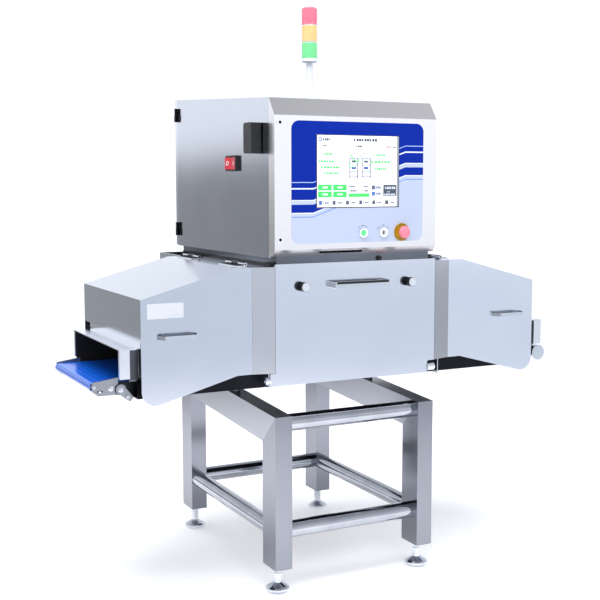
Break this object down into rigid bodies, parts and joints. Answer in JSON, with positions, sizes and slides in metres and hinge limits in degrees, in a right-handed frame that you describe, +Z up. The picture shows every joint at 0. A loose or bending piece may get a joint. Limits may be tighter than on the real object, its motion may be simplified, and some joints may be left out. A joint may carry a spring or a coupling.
{
  "type": "x-ray inspection system",
  "caption": "Stainless steel x-ray machine for packed food: a belt conveyor through a shielded chamber with lifting hoods, under a cabinet with a touch screen console and a signal tower.",
  "frame": {"origin": "on the floor, under the middle of the whole machine", "axes": "+X along the belt towards the outlet, +Y away from the operator, +Z up"},
  "size_m": [1.6875, 0.9078, 1.935],
  "materials": {
    "stainless_steel": "satin sheet stainless steel",
    "polished_steel": "polished stainless steel",
    "belt_blue": "matte blue food belt with a fine dotted grip",
    "lead_rubber": "matte black shielding rubber",
    "black_rubber": "matte",
    "detector_grey": "anodised",
    "plated_steel": "zinc plated",
    "source_grey": "satin paint",
    "unit_grey": "satin paint",
    "overlay_blue": "printed membrane in two blues",
    "screen_glass": "lit touch screen",
    "stop_yellow": "gloss",
    "stop_red": "gloss",
    "start_green": "gloss",
    "tower_white": "satin",
    "lamp_green": "translucent",
    "lamp_amber": "translucent",
    "lamp_red": "translucent",
    "black_plastic": "fine grain",
    "rocker_red": "gloss"
  },
  "bodies": {
    "frame": {"legs": "stainless_steel", "side_beams": "stainless_steel", "support_posts": "stainless_steel", "conveyor_base": "stainless_steel", "chamber_housing": "stainless_steel", "door_hinge_brackets": "stainless_steel", "inlet_tunnel": "stainless_steel", "outlet_tunnel": "stainless_steel", "conveyor_side_rails": "stainless_steel", "nose_side_plates": "stainless_steel", "slider_bed": "stainless_steel", "cabinet_plinth": "stainless_steel", "cabinet_shell": "stainless_steel", "fixed_hinge_leaves": "stainless_steel", "lock_strikes": "stainless_steel", "levelling_feet": "polished_steel", "cross_tubes": "polished_steel", "drum_end_mounts": "polished_steel", "bolts_and_nuts": "polished_steel", "conveyor_belt": "belt_blue", "cabinet_spacers": "black_rubber", "detector_array": "detector_grey", "mounting_plates": "plated_steel", "xray_source": "source_grey", "beam_collimator": "source_grey", "electrical_units": "unit_grey", "signal_tower_stand": "tower_white", "green_lamp": "lamp_green", "amber_lamp": "lamp_amber", "red_lamp": "lamp_red", "main_switch_frame": "black_plastic", "service_box": "black_plastic"},
    "chamber_door": {"chamber_door": "stainless_steel", "chamber_door_handle": "polished_steel"},
    "clamp_knob_left": {"clamp_knob_left": "polished_steel"},
    "clamp_knob_right": {"clamp_knob_right": "polished_steel"},
    "inlet_hood": {"inlet_hood": "stainless_steel", "inlet_hood_fittings": "stainless_steel"},
    "outlet_hood": {"outlet_hood": "stainless_steel", "outlet_hood_fittings": "stainless_steel"},
    "inlet_curtain": {"inlet_curtain": "lead_rubber"},
    "outlet_curtain": {"outlet_curtain": "lead_rubber"},
    "nose_roller": {"nose_roller": "polished_steel"},
    "drive_drum": {"drive_drum": "polished_steel"},
    "console_door": {"console_door": "stainless_steel", "console_overlay": "overlay_blue", "touch_screen": "screen_glass", "stop_collar": "stop_yellow", "control_rings": "polished_steel", "console_hinge_leaves": "stainless_steel"},
    "stop_button": {"stop_button": "stop_red"},
    "start_button": {"start_button": "start_green"},
    "key_cylinder": {"key_cylinder": "polished_steel"},
    "console_lock_upper": {"console_lock_upper": "polished_steel"},
    "console_lock_lower": {"console_lock_lower": "polished_steel"},
    "rear_door": {"rear_door": "stainless_steel", "rear_hinge_leaves": "stainless_steel"},
    "rear_door_lock": {"rear_door_lock": "polished_steel"},
    "main_switch_rocker": {"main_switch_rocker": "rocker_red"}
  },
  "joints": [
    {"name": "chamber_door_hinge", "type": "hinge", "parent": "frame", "child": "chamber_door", "pos_m": [0.03125, -0.41545, 0.712], "axis": [1, 0, 0], "range_deg": [0, 110]},
    {"name": "clamp_knob_left_turn", "type": "hinge", "parent": "chamber_door", "child": "clamp_knob_left", "pos_m": [-0.17375, -0.41895, 1.007], "axis": [0, -1, 0], "range_deg": [0, 90]},
    {"name": "clamp_knob_right_turn", "type": "hinge", "parent": "chamber_door", "child": "clamp_knob_right", "pos_m": [0.22425, -0.41895, 1.007], "axis": [0, -1, 0], "range_deg": [0, 90]},
    {"name": "inlet_hood_hinge", "type": "hinge", "parent": "frame", "child": "inlet_hood", "pos_m": [-0.33825, -0.09895, 1.0784], "axis": [0, 1, 0], "range_deg": [0, 85]},
    {"name": "outlet_hood_hinge", "type": "hinge", "parent": "frame", "child": "outlet_hood", "pos_m": [0.40075, -0.09895, 1.0784], "axis": [0, -1, 0], "range_deg": [0, 85]},
    {"name": "inlet_curtain_swing", "type": "hinge", "parent": "frame", "child": "inlet_curtain", "pos_m": [-0.52875, -0.12645, 0.83], "axis": [0, 1, 0], "range_deg": [-70, 70]},
    {"name": "outlet_curtain_swing", "type": "hinge", "parent": "frame", "child": "outlet_curtain", "pos_m": [0.59125, -0.12645, 0.83], "axis": [0, 1, 0], "range_deg": [-70, 70]},
    {"name": "drive_drum_spin", "type": "hinge", "parent": "frame", "child": "drive_drum", "pos_m": [0.81625, -0.12595, 0.718], "axis": [0, 1, 0], "continuous": true},
    {"name": "nose_roller_spin", "type": "hinge", "parent": "frame", "child": "nose_roller", "pos_m": [-0.83075, -0.12595, 0.725], "axis": [0, 1, 0], "continuous": true},
    {"name": "console_door_hinge", "type": "hinge", "parent": "frame", "child": "console_door", "pos_m": [0.33825, -0.37695, 1.35], "axis": [0, 0, 1], "range_deg": [0, 120]},
    {"name": "stop_button_press", "type": "slide", "parent": "console_door", "child": "stop_button", "axis": [0, 1, 0], "range_m": [0, 0.004], "stiffness_N_per_m": 900},
    {"name": "start_button_press", "type": "slide", "parent": "console_door", "child": "start_button", "axis": [0, 1, 0], "range_m": [0, 0.002], "stiffness_N_per_m": 600},
    {"name": "key_turn", "type": "hinge", "parent": "console_door", "child": "key_cylinder", "pos_m": [0.12525, -0.41895, 1.172], "axis": [0, 1, 0], "range_deg": [0, 90]},
    {"name": "console_lock_upper_turn", "type": "hinge", "parent": "console_door", "child": "console_lock_upper", "pos_m": [-0.25015, -0.41895, 1.5183], "axis": [0, -1, 0], "range_deg": [0, 90]},
    {"name": "console_lock_lower_turn", "type": "hinge", "parent": "console_door", "child": "console_lock_lower", "pos_m": [-0.25015, -0.41895, 1.1547], "axis": [0, -1, 0], "range_deg": [0, 90]},
    {"name": "rear_door_hinge", "type": "hinge", "parent": "frame", "child": "rear_door", "pos_m": [-0.27575, 0.42625, 1.37], "axis": [0, 0, 1], "range_deg": [0, 110]},
    {"name": "rear_door_lock_turn", "type": "hinge", "parent": "rear_door", "child": "rear_door_lock", "pos_m": [0.31265, 0.45105, 1.336], "axis": [0, 1, 0], "range_deg": [0, 90]},
    {"name": "main_switch_tip", "type": "hinge", "parent": "frame", "child": "main_switch_rocker", "pos_m": [-0.27175, -0.10095, 1.3995], "axis": [0, 0, -1], "range_deg": [0, 14]}
  ],
  "couplings": [
    {"joint": "nose_roller_spin", "follows": "drive_drum_spin", "ratio": 1.6542}
  ]
}
